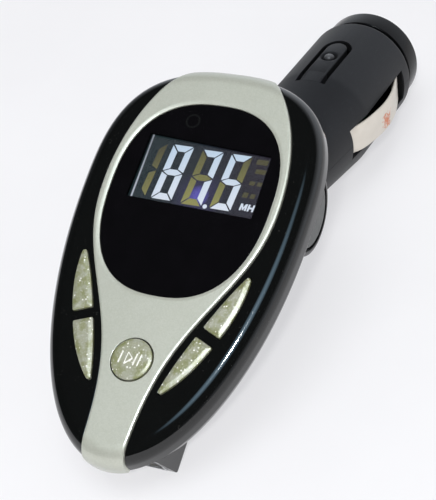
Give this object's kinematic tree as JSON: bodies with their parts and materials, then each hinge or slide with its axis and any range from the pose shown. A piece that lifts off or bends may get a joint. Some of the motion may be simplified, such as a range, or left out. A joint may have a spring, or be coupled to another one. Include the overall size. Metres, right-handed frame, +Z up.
{
  "type": "car fm transmitter",
  "caption": "Egg-shaped head with a display, silver band and five keys, hinged at its back to a lighter-socket plug with sprung contacts.",
  "frame": {"origin": "centre of the footprint, on the table that the corner of the socket housing and the nose flange stand on", "axes": "+Z up, +Y from the head's narrow end towards the plug's tip, +X to the right of someone who reads the display"},
  "size_m": [0.0414, 0.126, 0.0417],
  "materials": {
    "gloss_black": "polished black",
    "shell_black": "satin black",
    "silver": "satin champagne silver",
    "window": "polished smoked acrylic",
    "key_silver": "pearl silver with a bright bevel",
    "display": "display glass",
    "light_guide": "milky light guide",
    "board": "green solder mask",
    "chip": "moulded black",
    "can": "plain stamped metal",
    "eye": "dark filter",
    "socket_metal": "nickel",
    "socket_blade": "white moulding",
    "screw_steel": "zinc",
    "pin_steel": "ground",
    "cap_grey": "fine matt",
    "plug_grey": "satin charcoal",
    "leaf_metal": "nickel over copper",
    "nose_black": "semi-gloss black",
    "tip_metal": "nickel",
    "fuse_glass": "clear tube",
    "fuse_metal": "nickel",
    "spring_steel": "drawn wire",
    "brass": "stamped",
    "ferrite": "ferrite",
    "sleeve": "shrink sleeve"
  },
  "bodies": {
    "plug": {"plug_top": "plug_grey", "plug_bottom": "plug_grey", "neck_screw": "screw_steel", "washer_left": "pin_steel", "washer_right": "pin_steel", "tip_spring": "spring_steel", "spring_seat": "brass", "power_board": "board", "inductor": "ferrite", "capacitor": "sleeve", "regulator": "chip"},
    "head": {"front_shell": "gloss_black", "silver_band": "silver", "display_window": "window", "display_glass": "display", "backlight": "light_guide", "main_board": "board", "switch_upper_left": "can", "switch_upper_right": "can", "switch_lower_left": "can", "switch_lower_right": "can", "switch_play": "can", "infrared_eye": "eye", "control_chip": "chip", "radio_chip": "chip", "crystal": "can", "usb_socket": "socket_metal", "usb_blade": "socket_blade", "back_shell": "shell_black", "screw_left": "screw_steel", "screw_right": "screw_steel", "screw_low": "screw_steel", "hinge_pin": "pin_steel", "ear_cap_left": "cap_grey", "ear_cap_right": "cap_grey"},
    "key_upper_left": {"key_upper_left": "key_silver"},
    "key_upper_right": {"key_upper_right": "key_silver"},
    "key_lower_left": {"key_lower_left": "key_silver"},
    "key_lower_right": {"key_lower_right": "key_silver"},
    "play_key": {"play_key": "key_silver"},
    "tongue": {"spring_tongue": "plug_grey"},
    "contact_left": {"side_contact_left": "leaf_metal"},
    "contact_right": {"side_contact_right": "leaf_metal"},
    "nose": {"nose_cap": "nose_black"},
    "tip": {"tip_contact": "tip_metal", "fuse_glass": "fuse_glass", "fuse_cap_front": "fuse_metal", "fuse_cap_rear": "fuse_metal"}
  },
  "joints": [
    {"name": "head_fold", "type": "hinge", "parent": "plug", "child": "head", "pos_m": [0, -0.00271, 0.01515], "axis": [1, 0, 0], "range_deg": [-30, 75]},
    {"name": "key_upper_left_press", "type": "slide", "parent": "head", "child": "key_upper_left", "axis": [0, 0.4694, -0.883], "range_m": [0, 0.0004], "stiffness_N_per_m": 600, "springref_m": -0.0008},
    {"name": "key_upper_right_press", "type": "slide", "parent": "head", "child": "key_upper_right", "axis": [0, 0.4694, -0.883], "range_m": [0, 0.0004], "stiffness_N_per_m": 600, "springref_m": -0.0008},
    {"name": "key_lower_left_press", "type": "slide", "parent": "head", "child": "key_lower_left", "axis": [0, 0.4694, -0.883], "range_m": [0, 0.0004], "stiffness_N_per_m": 600, "springref_m": -0.0008},
    {"name": "key_lower_right_press", "type": "slide", "parent": "head", "child": "key_lower_right", "axis": [0, 0.4694, -0.883], "range_m": [0, 0.0004], "stiffness_N_per_m": 600, "springref_m": -0.0008},
    {"name": "play_key_press", "type": "slide", "parent": "head", "child": "play_key", "axis": [0, 0.4694, -0.883], "range_m": [0, 0.0004], "stiffness_N_per_m": 600, "springref_m": -0.0008},
    {"name": "tongue_flex", "type": "hinge", "parent": "plug", "child": "tongue", "pos_m": [0, 0.02548, 0.02146], "axis": [-1, 0, 0], "range_deg": [0, 4], "stiffness_Nm_per_rad": 0.4, "springref_deg": -1.15},
    {"name": "contact_left_press", "type": "slide", "parent": "plug", "child": "contact_left", "axis": [1, 0, 0], "range_m": [0, 0.001], "stiffness_N_per_m": 1500, "springref_m": -0.0006},
    {"name": "contact_right_press", "type": "slide", "parent": "plug", "child": "contact_right", "axis": [-1, 0, 0], "range_m": [0, 0.001], "stiffness_N_per_m": 1500, "springref_m": -0.0006},
    {"name": "nose_turn", "type": "hinge", "parent": "plug", "child": "nose", "pos_m": [0, 0.05109, 0.01053], "axis": [0, 0.9963, -0.0855], "continuous": true},
    {"name": "tip_press", "type": "slide", "parent": "plug", "child": "tip", "axis": [0, -0.9963, 0.0855], "range_m": [0, 0.0024], "stiffness_N_per_m": 900, "springref_m": -0.002, "deforming": ["tip_spring"]}
  ]
}
